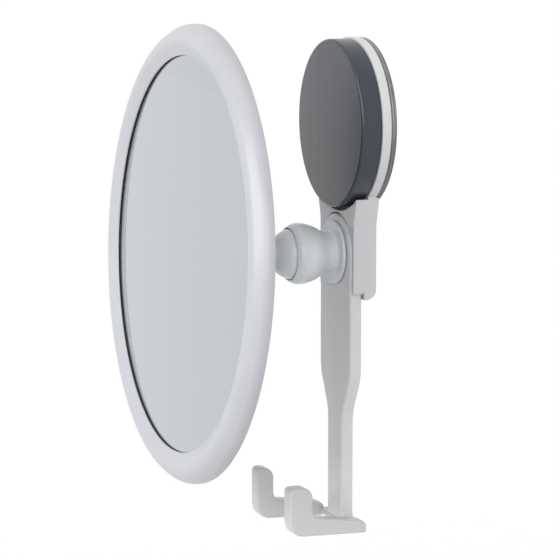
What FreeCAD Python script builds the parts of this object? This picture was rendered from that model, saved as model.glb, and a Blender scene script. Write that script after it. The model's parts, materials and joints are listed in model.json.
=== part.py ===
import FreeCAD, Part
import math
import os
import re
import Sketcher
from FreeCAD import Placement, Rotation, Vector

# Shaving mirror on a twist-lock suction mount, with a sliding arm, a ball joint and a razor hook.
#
# Frame: the wall is the plane y = 0 and the object stands out from it towards -Y, +Z is up, and
# the knob's axis is the Y axis, so the origin is where that axis meets the wall. "Depth" is the
# distance out from the wall (-y). "Ahead" is the distance in front of the ball's centre, along the
# mirror's own axis.

os.makedirs("parts", exist_ok=True)
doc = FreeCAD.newDocument("shaving_mirror")

# ---------------------------------------------------------------- driving dimensions (mm, degrees)

SIZES = [
    # suction mount
    ("cup_radius", 32.2, "suction cup, outer radius"),
    ("cup_front", 2.4, "depth of the cup's front face"),
    ("cup_seal", 27.0, "inner radius of the cup's sealing face"),
    ("cup_hollow", 1.2, "depth of the hollow behind the membrane"),
    ("cup_groove", 0.3, "depth of the grooves in the cup's edge"),
    ("core_radius", 8.7, "rubber core moulded round the stud's head"),
    ("core_back", 1.9, "depth of the core's back when locked"),
    ("core_gap", 0.3, "space round the core"),
    ("core_front", 3.9, "depth of the core's front"),
    ("plate_front", 5.7, "depth of the pressure plate's front face"),
    ("plate_recess", 4.4, "depth of the recess that the core is drawn into"),
    ("hub_radius", 7.0, "plate hub round the stud"),
    ("hub_front", 8.0, "depth of the hub's end"),
    ("stud_radius", 3.95, "draw stud"),
    ("stud_head", 6.5, "draw stud's head"),
    ("head_back", 2.5, "depth of the head's back"),
    ("head_front", 3.4, "depth of the head's front"),
    ("stud_end", 12.2, "depth of the stud's end"),
    ("stud_gap", 0.05, "running clearance round the stud"),
    # knob
    ("knob_radius", 31.6, "knob, outer radius"),
    ("knob_back", 5.95, "depth of the knob's rim"),
    ("knob_front", 13.8, "depth of the knob's face"),
    ("knob_wall", 1.7, "knob's side wall"),
    ("knob_skin", 1.2, "knob's front wall"),
    ("knob_edge", 1.0, "rounding of the knob's front edge"),
    ("knob_room", 1.4, "space between knob and bracket"),
    ("insert_radius", 6.05, "threaded insert, outer radius"),
    ("insert_back", 8.8, "depth of the insert's back"),
    ("carrier_front", 9.8, "depth of the nut carrier's front"),
    ("spring_room", 0.4, "clearance beside the wave washer and over the hub"),
    # bracket
    ("bracket_half", 16.4, "half the bracket's width"),
    ("bracket_flare", 2.2, "extra half width where the tongue joins the plate"),
    ("bracket_back", 1.4, "depth of the tongue's back"),
    ("bracket_front", 10.6, "depth of the tongue's front"),
    ("bracket_foot", 65.4, "drop from the knob's axis to the tongue's lower end"),
    ("walls_foot", 63.9, "drop to the lower end of the channel's walls"),
    ("shoulder_top", 26.0, "drop to the top of the tongue's shoulders"),
    ("shoulder_foot", 29.0, "drop to where the shoulders start to narrow"),
    ("waist_top", 36.8, "drop to where the tongue has its full narrow width"),
    ("waist_round", 9.0, "rounding at that place"),
    ("foot_round", 3.9, "rounding of the tongue's lower end at the back"),
    ("walls_round", 2.6, "rounding of the walls' lower corners"),
    ("floor_front", 6.2, "depth of the channel's floor"),
    ("rail_neck", 4.0, "half width of the slide shoe's neck"),
    ("rail_wide", 7.0, "half width of the slide shoe's flange"),
    ("rail_gap", 0.2, "clearance round the slide shoe"),
    ("rail_back", 3.1, "depth of the shoe's back"),
    ("rail_step", 4.5, "depth of the shoe's step from flange to neck"),
    ("shoe_top", 10.5, "shoe's end above the ball's axis"),
    ("shoe_foot", 11.5, "shoe's end below the ball's axis"),
    ("driver_hole", 3.0, "hole in the shoe for the screwdriver"),
    ("leaf_back", 2.35, "depth of the detent spring's back"),
    ("leaf_thick", 0.3, "thickness of the detent spring"),
    ("leaf_half", 2.5, "half the detent spring's width"),
    ("leaf_top", 1.0, "spring's upper end below the ball's axis"),
    ("leaf_foot", 13.0, "spring's lower end below the ball's axis"),
    # arm
    ("axis_drop", 48.8, "drop from the knob's axis to the ball's axis"),
    ("head_radius", 14.75, "arm's round head, and half its upper width"),
    ("channel_gap", 0.4, "clearance between arm and bracket"),
    ("arm_back", 6.6, "depth of the arm's back"),
    ("arm_front", 11.5, "depth of the arm's front"),
    ("taper_top", 95.5, "drop to where the arm starts to narrow"),
    ("taper_foot", 110.0, "drop to where it is narrow"),
    ("taper_round", 16.0, "rounding at both ends of the taper"),
    ("leg_half", 7.0, "half the arm's lower width"),
    ("arm_edge", 1.2, "rounding of the arm's front edges"),
    # razor hook
    ("bar_top", 150.9, "drop to the crossbar's top, where the leg ends"),
    ("hook_foot", 153.5, "drop to the right prong's underside at the back"),
    ("slim_foot", 154.0, "drop to the left prong's underside at the back"),
    ("hook_rise", 0.7, "how much the underside rises to the front"),
    ("seat_drop", 148.9, "drop to the prong's seat at the back"),
    ("seat_rise", 2.9, "how much the seat rises to the throat"),
    ("broad_top", 134.4, "drop to the top of the right tip"),
    ("slim_top", 133.4, "drop to the top of the left tip"),
    ("tip_front", 37.6, "depth of the prongs' front"),
    ("broad_tip", 9.2, "thickness of the right prong's tip"),
    ("slim_tip", 6.8, "thickness of the left prong's tip"),
    ("slim_back", 9.7, "depth of the left prong's back"),
    ("prong_in", 13.95, "inner side of each prong"),
    ("prong_out", 20.6, "outer side of each prong"),
    ("toe_round", 5.5, "rounding of the prong's lower front corner"),
    ("tip_round", 1.8, "rounding of the tip's front corner"),
    ("tip_back_round", 4.0, "rounding of the tip's back corner"),
    ("throat_round", 3.3, "rounding of the throat"),
    ("seat_round", 2.6, "rounding of the seat's back corner"),
    ("heel_round", 0.9, "rounding of the prong's lower back corner"),
    ("prong_edge", 0.8, "rounding along the prongs' sides"),
    ("leg_depth", 4.9, "the crossbar's size along Y"),
    # ball socket
    ("flange_radius", 12.0, "socket's flange"),
    ("flange_back", 11.75, "depth of the flange's back"),
    ("flange_front", 12.9, "depth of the flange's front"),
    ("neck_radius", 7.7, "socket's neck"),
    ("bulge_radius", 11.55, "socket's widest radius"),
    ("bulge_length", 12.0, "half length of the bulge behind its middle"),
    ("bulge_nose", 7.6, "half length of the bulge ahead of its middle"),
    ("bulge_depth", 26.6, "depth of the bulge's middle"),
    ("lip_front", 30.4, "depth of the socket's lip"),
    ("ball_depth", 28.0, "depth of the ball's centre"),
    ("ball_radius", 9.8, "ball"),
    ("ball_gap", 0.1, "clearance round the ball"),
    ("core_ball", 6.0, "core inside the ball"),
    ("seat_bore", 6.2, "bore behind the ball for the seat"),
    ("seat_back", 16.7, "depth of the seat's back"),
    ("pocket_back", 14.4, "depth of the bore's end"),
    ("screw_radius", 1.95, "screw that holds the socket"),
    ("screw_head", 3.8, "its head"),
    ("screw_sink", 2.4, "depth of the counterbore in the arm's back"),
    # mirror, in distances ahead of the ball's centre
    ("mirror_tilt", 2.6, "how far the mirror faces upwards at rest"),
    ("mirror_radius", 85.0, "bezel, outer radius"),
    ("opening_radius", 73.3, "visible glass"),
    ("glass_radius", 75.5, "glass"),
    ("glass_face", 45.1, "ahead to the glass's face"),
    ("glass_thick", 2.2, "glass thickness"),
    ("crest_radius", 79.0, "radius of the bezel's crest"),
    ("crest_face", 48.0, "ahead to the bezel's crest"),
    ("crest_in", 1.4, "width of the crest inside its circle"),
    ("crest_out", 1.8, "width of the crest outside its circle"),
    ("shoulder_face", 43.8, "ahead to the bezel's outer corner"),
    ("bezel_round", 3.5, "rounding of the bezel's outer corners"),
    ("crest_round", 2.5, "rounding of the crest's inner corner"),
    ("bezel_back", 40.5, "ahead to the bezel's back"),
    ("spigot_radius", 82.2, "rear cover's spigot inside the bezel"),
    ("spigot_bore", 80.2, "inner radius of the spigot"),
    ("cover_wall", 1.8, "rear cover's wall"),
    ("dome_inner", 30.0, "inner ring of the cover's dome"),
    ("inner_rise", 1.2, "ahead of the flat centre to that ring"),
    ("dome_middle", 60.0, "middle ring of the dome"),
    ("middle_rise", 4.8, "ahead of the flat centre to that ring"),
    ("dome_outer", 78.0, "outer ring of the dome"),
    ("outer_rise", 8.7, "ahead of the flat centre to that ring"),
    ("plate_thick", 1.4, "mounting plate's thickness"),
    ("pilot_radius", 1.1, "collar screw's shank"),
    ("tapper_radius", 0.9, "shoe screw's shank"),
    ("boss_radius", 18.5, "rear cover's flat centre, and the swivel collar"),
    ("boss_back", 29.8, "ahead to the rear cover's flat centre"),
    ("stem_radius", 4.4, "ball stud's stem"),
    ("foot_radius", 12.0, "ball stud's foot"),
    ("foot_back", 27.2, "ahead to the back of the ball stud's foot"),
    ("collar_back", 25.6, "ahead to the back of the swivel collar"),
    ("collar_hole", 8.0, "opening in the swivel collar"),
    ("collar_pitch", 15.4, "radius of the circle of collar screws"),
]

sheet = doc.addObject("Spreadsheet::Sheet", "sizes")
for row, (alias, value, note) in enumerate(SIZES, start=1):
    sheet.set(f"A{row}", note)
    sheet.set(f"B{row}", str(value))
    sheet.setAlias(f"B{row}", alias)
doc.recompute()


# ---------------------------------------------------------------- helpers

def cells(text):
    """An expression on the sheet's aliases, as the document's objects have to write it."""
    return re.sub(r"([a-z]+_[a-z_]+)", r"sizes.\1", text)


def size(text):
    """The present value of such an expression."""
    return float(sheet.evalExpression(cells(text)))


def new_body(label):
    body = doc.addObject("PartDesign::Body", label)
    body.Label = label
    return body


def sketch_on(body, role, name, offset="0"):
    """A sketch on one of the body's origin planes, moved along the plane's normal by offset."""
    sketch = body.newObject("Sketcher::SketchObject", name)
    plane = next(p for p in body.Origin.OriginFeatures if p.Role == role)
    sketch.AttachmentSupport = [(plane, "")]
    sketch.MapMode = "FlatFace"
    sketch.setExpression("AttachmentOffset.Base.z", cells(offset))
    doc.recompute()
    return sketch


def bind(sketch, kind, where, value, name, text):
    index = sketch.addConstraint(Sketcher.Constraint(kind, *where, value))
    sketch.renameConstraint(index, name)
    sketch.setExpression(f"Constraints.{name}", cells(text))


def outline(sketch, corners):
    """A closed outline of straight edges through corners, each a pair of expressions."""
    points = [Vector(size(x), size(y), 0) for x, y in corners]
    first = sketch.GeometryCount
    count = len(points)
    for i, point in enumerate(points):
        sketch.addGeometry(Part.LineSegment(point, points[(i + 1) % count]))
    for i, (x, y) in enumerate(corners):
        here = first + i
        after = first + (i + 1) % count
        sketch.addConstraint(Sketcher.Constraint("Coincident", here, 2, after, 1))
        bind(sketch, "DistanceX", (here, 1), points[i].x, f"across{here}", x)
        bind(sketch, "DistanceY", (here, 1), points[i].y, f"along{here}", y)


def circle(sketch, radius, x="0", y="0"):
    centre = Vector(size(x), size(y), 0)
    index = sketch.addGeometry(Part.Circle(centre, Vector(0, 0, 1), size(radius)))
    bind(sketch, "Radius", (index,), size(radius), f"radius{index}", radius)
    bind(sketch, "DistanceX", (index, 3), centre.x, f"across{index}", x)
    bind(sketch, "DistanceY", (index, 3), centre.y, f"along{index}", y)


def pad(body, sketch, length):
    feature = body.newObject("PartDesign::Pad", sketch.Name + "_pad")
    feature.Profile = sketch
    feature.Length = size(length)
    feature.setExpression("Length", cells(length))
    doc.recompute()


def pocket(body, sketch, length):
    """Cut from the sketch against its normal, and make sure that something was cut."""
    before = body.Shape.Volume
    feature = body.newObject("PartDesign::Pocket", sketch.Name + "_pocket")
    feature.Profile = sketch
    feature.Length = size(length)
    feature.setExpression("Length", cells(length))
    doc.recompute()
    if body.Shape.Volume > before - 0.01:
        raise RuntimeError(f"{sketch.Name} cut nothing")


def turned(label, corners):
    """A body turned about the Y axis from corners, each (radius, depth)."""
    body = new_body(label)
    sketch = sketch_on(body, "XY_Plane", label + "_profile")
    outline(sketch, [(radius, f"-({depth})") for radius, depth in corners])
    turn = body.newObject("PartDesign::Revolution", label + "_turn")
    turn.Profile = sketch
    turn.ReferenceAxis = (sketch, ["V_Axis"])
    turn.Angle = 360
    doc.recompute()
    return body


def round_edges(body, radius, chosen):
    """Fillet the edges of the body's last feature that chosen picks."""
    base = body.Tip
    names = [f"Edge{i}" for i, edge in enumerate(base.Shape.Edges, 1) if chosen(edge)]
    if not names:
        raise RuntimeError(f"{body.Label}: no edge to round")
    feature = body.newObject("PartDesign::Fillet", body.Label + "_round")
    feature.Base = (base, names)
    feature.Radius = size(radius)
    feature.setExpression("Radius", cells(radius))
    doc.recompute()


def is_circle(edge, radius, depth):
    """Is this the turned edge of that radius at that depth?"""
    if not isinstance(edge.Curve, Part.Circle):
        return False
    same_radius = abs(edge.Curve.Radius - size(radius)) < 0.01
    same_depth = abs(edge.Curve.Center.y + size(depth)) < 0.01
    return same_radius and same_depth


def runs_along(edge, way):
    """Is this a straight edge parallel to a vector?"""
    if len(edge.Vertexes) < 2 or not isinstance(edge.Curve, Part.Line):
        return False
    return edge.tangentAt(edge.FirstParameter).cross(way).Length < 1e-4


def lies_at(edge, x=None, depth=None, drop=None, near=0.02):
    """Are all of this edge's corners at the given half width, depth or drop?"""
    tests = []
    for corner in edge.Vertexes:
        if x is not None:
            tests.append(abs(abs(corner.X) - size(x)) < near)
        if depth is not None:
            tests.append(abs(corner.Y + size(depth)) < near)
        if drop is not None:
            tests.append(abs(corner.Z + size(drop)) < near)
    return all(tests)


def on_ball_axis(thing):
    """Lower a body that was turned about the knob's axis to the ball's axis."""
    thing.setExpression("Placement.Base.z", cells("-axis_drop"))


def on_mirror(thing):
    """Set a body whose depths are distances ahead of the ball's centre on the tilted mirror axis."""
    thing.Placement = Placement(Vector(), Rotation(Vector(-1, 0, 0), size("mirror_tilt")))
    thing.setExpression("Placement.Base.y", cells("-ball_depth"))
    thing.setExpression("Placement.Base.z", cells("-axis_drop"))
    thing.setExpression("Placement.Rotation.Angle", cells("mirror_tilt"))


def ball(name, radius, depth="ball_depth"):
    """A plain ball on the Y axis, used to cut or join."""
    piece = doc.addObject("Part::Sphere", name)
    piece.setExpression("Radius", cells(radius))
    piece.setExpression("Placement.Base.y", cells(f"-({depth})"))
    return piece


def rod(name, radius, back, front, x="0", z="0"):
    """A plain rod along Y from depth back to depth front."""
    piece = doc.addObject("Part::Cylinder", name)
    piece.setExpression("Radius", cells(radius))
    piece.setExpression("Height", cells(f"({front}) - ({back})"))
    piece.Placement = Placement(Vector(), Rotation(Vector(1, 0, 0), 90))
    piece.setExpression("Placement.Base.x", cells(x))
    piece.setExpression("Placement.Base.y", cells(f"-({back})"))
    piece.setExpression("Placement.Base.z", cells(z))
    return piece


def drill(body, name, radius, places, front, length):
    """Round holes, cut from depth front back towards the wall."""
    sketch = sketch_on(body, "XZ_Plane", name, front)
    for x, z in places:
        circle(sketch, radius, x, z)
    pocket(body, sketch, length)


def screws(name, shank, head, places, head_back, head_front, tip):
    """A group of identical screws: heads from head_back to head_front, shanks on to depth tip."""
    pieces = []
    for index, (x, z) in enumerate(places):
        pieces.append(rod(f"{name}_head{index}", head, head_back, head_front, x, z))
        back, front = sorted((head_front, tip), key=size)
        pieces.append(rod(f"{name}_shank{index}", shank, back, front, x, z))
    return joined(name, pieces)


def joined(name, pieces):
    fuse = doc.addObject("Part::MultiFuse", name)
    fuse.Shapes = pieces
    return fuse


def cut(name, base, tool):
    piece = doc.addObject("Part::Cut", name)
    piece.Base = base
    piece.Tool = tool
    return piece


OUT = Vector(0, 1, 0)
ACROSS = Vector(1, 0, 0)
COLLAR_PLACES = [
    (f"{math.cos(angle):.6f} * collar_pitch", f"{math.sin(angle):.6f} * collar_pitch")
    for angle in (math.radians(degrees) for degrees in (90, 210, 330))
]
SHOE_PLACES = [("0", "-axis_drop + 7"), ("0", "-axis_drop - 8")]
AXIS_PLACE = [("0", "-axis_drop")]
CENTRE = [("0", "0")]
sub_parts = []


# ---------------------------------------------------------------- suction mount

cup = turned("suction_cup", [
    ("core_radius + core_gap", "cup_hollow"),
    ("cup_seal - 1.5", "cup_hollow"),
    ("cup_seal", "0"),
    ("cup_radius", "0"),
    ("cup_radius - cup_groove", "cup_front / 2"),
    ("cup_radius", "cup_front - cup_groove"),
    ("cup_radius - cup_groove", "cup_front"),
    ("core_radius + core_gap", "cup_front"),
])
sub_parts.append(cup)

core = turned("cup_core", [
    ("0", "core_back"),
    ("core_radius - 0.4", "core_back"),
    ("core_radius", "core_back + 0.4"),
    ("core_radius", "core_front"),
    ("stud_radius", "core_front"),
    ("stud_radius", "head_front"),
    ("stud_head", "head_front"),
    ("stud_head", "head_back"),
    ("0", "head_back"),
])
sub_parts.append(core)

stud = turned("draw_stud", [
    ("0", "head_back"),
    ("stud_head", "head_back"),
    ("stud_head", "head_front"),
    ("stud_radius", "head_front"),
    ("stud_radius", "stud_end - 0.5"),
    ("stud_radius - 0.5", "stud_end"),
    ("0", "stud_end"),
])
sub_parts.append(stud)


def strip(body, name, half, top, foot, front, length):
    """Cut a straight slot between two heights, from depth front back towards the wall."""
    sketch = sketch_on(body, "XZ_Plane", name, front)
    outline(sketch, [
        (f"-({half})", top),
        (f"-({half})", foot),
        (half, foot),
        (half, top),
    ])
    pocket(body, sketch, length)


def make_bracket():
    """One moulding: the round pressure plate and the tongue whose channel holds the arm."""
    body = new_body("bracket")
    plate = sketch_on(body, "XZ_Plane", "plate", "cup_front")
    circle(plate, "cup_radius")
    pad(body, plate, "plate_front - cup_front")
    hub = sketch_on(body, "XZ_Plane", "hub", "plate_recess")
    circle(hub, "hub_radius")
    pad(body, hub, "hub_front - plate_recess")
    tongue = sketch_on(body, "XZ_Plane", "tongue", "bracket_back")
    outline(tongue, [
        ("-bracket_half - bracket_flare", "-shoulder_top"),
        ("-bracket_half - bracket_flare", "-shoulder_foot"),
        ("-bracket_half", "-waist_top"),
        ("-bracket_half", "-bracket_foot"),
        ("bracket_half", "-bracket_foot"),
        ("bracket_half", "-waist_top"),
        ("bracket_half + bracket_flare", "-shoulder_foot"),
        ("bracket_half + bracket_flare", "-shoulder_top"),
    ])
    pad(body, tongue, "bracket_front - bracket_back")
    round_edges(body, "foot_round", lambda edge: (
        runs_along(edge, ACROSS) and lies_at(edge, depth="bracket_back", drop="bracket_foot")))
    round_edges(body, "waist_round", lambda edge: (
        runs_along(edge, OUT) and lies_at(edge, x="bracket_half", drop="waist_top")))
    past_foot = "-bracket_foot - 1"
    strip(body, "walls_end", "bracket_half + 1", "-walls_foot", past_foot, "bracket_front",
          "bracket_front - floor_front")
    round_edges(body, "walls_round", lambda edge: (
        runs_along(edge, OUT) and lies_at(edge, x="bracket_half", drop="walls_foot")))
    drill(body, "cup_space", "cup_radius + 0.4", CENTRE, "cup_front", "cup_front")
    knob_space = sketch_on(body, "XZ_Plane", "knob_space", "bracket_front")
    circle(knob_space, "knob_radius + knob_room")
    circle(knob_space, "hub_radius")
    pocket(body, knob_space, "bracket_front - plate_front")
    drill(body, "core_space", "core_radius + core_gap", CENTRE, "plate_recess", "plate_recess")
    drill(body, "stud_bore", "stud_radius + stud_gap", CENTRE, "hub_front", "hub_front")
    drill(body, "head_space", "head_radius + channel_gap", AXIS_PLACE, "bracket_front",
          "bracket_front - floor_front")
    strip(body, "channel", "head_radius + channel_gap", "-axis_drop", past_foot, "bracket_front",
          "bracket_front - floor_front")
    slot_top = "-axis_drop + shoe_top + 0.5"
    strip(body, "slot_neck", "rail_neck + rail_gap", slot_top, past_foot, "floor_front",
          "floor_front - rail_back + rail_gap")
    strip(body, "slot_flange", "rail_wide + rail_gap", slot_top, past_foot, "rail_step + rail_gap",
          "rail_step - rail_back + 2 * rail_gap")
    strip(body, "spring_space", "leaf_half + rail_gap", "-axis_drop - leaf_top + rail_gap",
          "-axis_drop - leaf_foot - rail_gap", "rail_back - rail_gap", "rail_back - rail_gap - leaf_back")
    return body


sub_parts.append(make_bracket())

wave = turned("wave_washer", [
    ("hub_radius + spring_room", "plate_front + 0.05"),
    ("hub_radius + 3.4", "plate_front + 0.05"),
    ("hub_radius + 3.4", "plate_front + 0.45"),
    ("hub_radius + spring_room", "plate_front + 0.45"),
])
sub_parts.append(wave)

spring = new_body("detent_spring")
leaf = sketch_on(spring, "XZ_Plane", "leaf", "leaf_back")
outline(leaf, [
    ("-leaf_half", "-axis_drop - leaf_foot"),
    ("leaf_half", "-axis_drop - leaf_foot"),
    ("leaf_half", "-axis_drop - leaf_top"),
    ("-leaf_half", "-axis_drop - leaf_top"),
])
pad(spring, leaf, "leaf_thick")
sub_parts.append(spring)

# ---------------------------------------------------------------- knob

cap = turned("knob_cap", [
    ("0", "knob_front - knob_skin"),
    ("knob_radius - knob_wall", "knob_front - knob_skin"),
    ("knob_radius - knob_wall", "knob_back"),
    ("knob_radius", "knob_back"),
    ("knob_radius", "knob_front"),
    ("0", "knob_front"),
])
round_edges(cap, "knob_edge", lambda e: is_circle(e, "knob_radius", "knob_front"))
sub_parts.append(cap)

carrier = turned("nut_carrier", [
    ("insert_radius", "hub_front + spring_room"),
    ("hub_radius + 0.6", "hub_front + spring_room"),
    ("hub_radius + 0.6", "plate_front + 0.7"),
    ("hub_radius + 3.6", "plate_front + 0.7"),
    ("hub_radius + 3.6", "hub_front + spring_room"),
    ("knob_radius - knob_wall - 0.05", "hub_front + spring_room"),
    ("knob_radius - knob_wall - 0.05", "carrier_front"),
    ("insert_radius + 2.1", "carrier_front"),
    ("insert_radius + 2.1", "knob_front - knob_skin"),
    ("insert_radius", "knob_front - knob_skin"),
])
sub_parts.append(carrier)

nut = turned("threaded_insert", [
    ("stud_radius + stud_gap", "insert_back"),
    ("insert_radius", "insert_back"),
    ("insert_radius", "stud_end + 0.2"),
    ("stud_radius + stud_gap", "stud_end + 0.2"),
])
sub_parts.append(nut)

# ---------------------------------------------------------------- arm


def make_arm():
    """A flat bar: round head, wide upper half, then a smooth taper to a narrow leg."""
    body = new_body("arm")
    head = sketch_on(body, "XZ_Plane", "arm_head", "arm_back")
    circle(head, "head_radius", "0", "-axis_drop")
    pad(body, head, "arm_front - arm_back")
    blade = sketch_on(body, "XZ_Plane", "arm_blade", "arm_back")
    outline(blade, [
        ("-head_radius", "-axis_drop"),
        ("-head_radius", "-taper_top"),
        ("-leg_half", "-taper_foot"),
        ("-leg_half", "-bar_top"),
        ("leg_half", "-bar_top"),
        ("leg_half", "-taper_foot"),
        ("head_radius", "-taper_top"),
        ("head_radius", "-axis_drop"),
    ])
    pad(body, blade, "arm_front - arm_back")
    for half, drop in (("head_radius", "taper_top"), ("leg_half", "taper_foot")):
        round_edges(body, "taper_round", lambda edge: (
            runs_along(edge, OUT) and lies_at(edge, x=half, drop=drop)))
    drill(body, "screw_bore", "screw_radius", AXIS_PLACE, "arm_front", "arm_front")
    drill(body, "screw_counterbore", "screw_head + 0.8", AXIS_PLACE, "arm_back + screw_sink", "arm_back")
    drill(body, "shoe_pilots", "tapper_radius", SHOE_PLACES, "arm_back + 2.6", "arm_back")
    round_edges(body, "arm_edge", lambda edge: lies_at(edge, depth="arm_front") and is_arm_rim(edge))
    return body


def is_arm_rim(edge):
    """Is this edge on the arm's outer outline, not the screw's bore or the cut end?"""
    middle = edge.valueAt((edge.FirstParameter + edge.LastParameter) / 2)
    from_axis = Vector(middle.x, 0, middle.z + size("axis_drop")).Length
    return from_axis > size("head_radius") - 0.1 and middle.z > 0.05 - size("bar_top")


arm = make_arm()
sub_parts.append(arm)


def make_shoe():
    """The T-shaped shoe behind the arm, which runs in the bracket's slot."""
    body = new_body("slide_shoe")
    for name, half, back, front in (
        ("shoe_neck", "rail_neck", "rail_step", "arm_back"),
        ("shoe_flange", "rail_wide", "rail_back", "rail_step"),
    ):
        sketch = sketch_on(body, "XZ_Plane", name, back)
        outline(sketch, [
            (f"-{half}", "-axis_drop + shoe_top"),
            (half, "-axis_drop + shoe_top"),
            (half, "-axis_drop - shoe_foot"),
            (f"-{half}", "-axis_drop - shoe_foot"),
        ])
        pad(body, sketch, f"{front} - {back}")
    drill(body, "shoe_access", "driver_hole", AXIS_PLACE, "arm_back", "arm_back")
    drill(body, "shoe_holes", "tapper_radius", SHOE_PLACES, "arm_back", "arm_back")
    drill(body, "shoe_sinks", "2 * tapper_radius", SHOE_PLACES, "rail_back + 1", "rail_back + 1")
    return body


sub_parts.append(make_shoe())
sub_parts.append(screws("shoe_screws", "tapper_radius", "2 * tapper_radius", SHOE_PLACES,
                        "rail_back + 0.1", "rail_back + 1", "arm_back + 2.5"))


def make_prong(name, start, back, thickness, top, foot):
    """One J-shaped prong: a seat, a throat and an upright tip, with every edge rounded.

    It starts at X = start and its seat starts at depth back. top and foot are drops.
    """
    tip_back = f"tip_front - {thickness}"
    body = new_body(name)
    profile = sketch_on(body, "YZ_Plane", name + "_profile", start)
    outline(profile, [
        (f"-{back}", f"-{foot}"),
        ("-tip_front", f"-{foot} + hook_rise"),
        ("-tip_front", f"-{top}"),
        (f"-({tip_back})", f"-{top}"),
        (f"-({tip_back})", "-seat_drop + seat_rise"),
        (f"-{back}", "-seat_drop"),
    ])
    pad(body, profile, "prong_out - prong_in")
    for depth, drop, radius in (
        ("tip_front", f"{foot} - hook_rise", "toe_round"),
        ("tip_front", top, "tip_round"),
        (tip_back, top, "tip_back_round"),
        (tip_back, "seat_drop - seat_rise", "throat_round"),
        (back, "seat_drop", "seat_round"),
        (back, foot, "heel_round"),
    ):
        round_edges(body, radius, lambda edge: (
            runs_along(edge, ACROSS) and lies_at(edge, depth=depth, drop=drop)))
    round_edges(body, "prong_edge", lambda edge: not runs_along(edge, ACROSS))
    return body


def make_hook():
    """Two prongs joined by a low crossbar under the leg."""
    bar = doc.addObject("Part::Box", "crossbar")
    bar.setExpression("Length", cells("2 * prong_in + 2"))
    bar.setExpression("Width", cells("leg_depth"))
    bar.setExpression("Height", cells("hook_foot - 0.4 - bar_top"))
    bar.setExpression("Placement.Base.x", cells("-prong_in - 1"))
    bar.setExpression("Placement.Base.y", cells("-arm_back - leg_depth"))
    bar.setExpression("Placement.Base.z", cells("-hook_foot + 0.4"))
    right = make_prong("right_prong", "prong_in", "arm_back", "broad_tip", "broad_top", "hook_foot")
    left = make_prong("left_prong", "-prong_out", "slim_back", "slim_tip", "slim_top", "slim_foot")
    return joined("razor_hook", [bar, right, left])


sub_parts.append(make_hook())

# ---------------------------------------------------------------- ball socket

socket_washer = turned("socket_washer", [
    ("screw_radius + 0.1", "arm_back + screw_sink - 0.35"),
    ("screw_head + 0.4", "arm_back + screw_sink - 0.35"),
    ("screw_head + 0.4", "arm_back + screw_sink - 0.02"),
    ("screw_radius + 0.1", "arm_back + screw_sink - 0.02"),
])
on_ball_axis(socket_washer)
sub_parts.append(socket_washer)

socket_screw = turned("socket_screw", [
    ("0", "arm_back + 0.4"),
    ("screw_head - 0.4", "arm_back + 0.4"),
    ("screw_head", "arm_back + 0.8"),
    ("screw_head", "arm_back + screw_sink - 0.45"),
    ("screw_radius", "arm_back + screw_sink - 0.45"),
    ("screw_radius", "pocket_back - 0.2"),
    ("0", "pocket_back - 0.2"),
])
on_ball_axis(socket_screw)
sub_parts.append(socket_screw)


def bulge(name, length):
    """The socket's egg: round about Y, with that half length."""
    egg = doc.addObject("Part::Ellipsoid", name)
    egg.setExpression("Radius1", cells(length))
    egg.setExpression("Radius2", cells("bulge_radius"))
    egg.setExpression("Radius3", cells("bulge_radius"))
    egg.Placement = Placement(Vector(), Rotation(Vector(1, 0, 0), 90))
    egg.setExpression("Placement.Base.y", cells("-bulge_depth"))
    return egg


ahead_of_middle = rod("ahead_of_middle", "bulge_radius + 1", "bulge_depth", "bulge_depth + bulge_length + 1")
socket_solid = joined("socket_solid", [
    cut("bulge_back", bulge("bulge_whole", "bulge_length"), ahead_of_middle),
    bulge("bulge_front", "bulge_nose"),
    rod("socket_neck", "neck_radius", "flange_back", "bulge_depth"),
    rod("socket_flange", "flange_radius", "flange_back", "flange_front"),
])
socket_space = joined("socket_space", [
    ball("ball_space", "ball_radius + ball_gap"),
    rod("seat_space", "seat_bore", "pocket_back", "ball_depth"),
    rod("screw_space", "screw_radius", "arm_back", "pocket_back + 0.1"),
    rod("mouth", "bulge_radius + 1", "lip_front", "lip_front + 10"),
])
socket_piece = cut("ball_socket", socket_solid, socket_space)
on_ball_axis(socket_piece)
sub_parts.append(socket_piece)

seat_ring = turned("spring_ring", [
    ("3.2", "pocket_back + 0.05"),
    ("seat_bore - 0.1", "pocket_back + 0.05"),
    ("seat_bore - 0.1", "seat_back - 0.05"),
    ("3.2", "seat_back - 0.05"),
])
on_ball_axis(seat_ring)
sub_parts.append(seat_ring)

seat = cut(
    "ball_seat",
    rod("seat_blank", "seat_bore - 0.05", "seat_back", "seat_back + 4.2"),
    ball("seat_cup", "ball_radius + 0.05"),
)
on_ball_axis(seat)
sub_parts.append(seat)

ball_core = ball("ball_core", "core_ball")
on_ball_axis(ball_core)
sub_parts.append(ball_core)

# ---------------------------------------------------------------- mirror head


def make_ball_stud():
    """The hollow ball, its stem and the round foot that turns in the swivel collar."""
    solid = joined("stud_solid", [
        ball("ball_skin", "ball_radius", "0"),
        rod("stud_stem", "stem_radius", "0", "boss_back - 0.5"),
        rod("stud_foot", "foot_radius", "foot_back", "boss_back - 0.3"),
    ])
    stud_cut = cut("ball_stud", solid, ball("core_space_ball", "core_ball + 0.1", "0"))
    on_mirror(stud_cut)
    return stud_cut


sub_parts.append(make_ball_stud())

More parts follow.
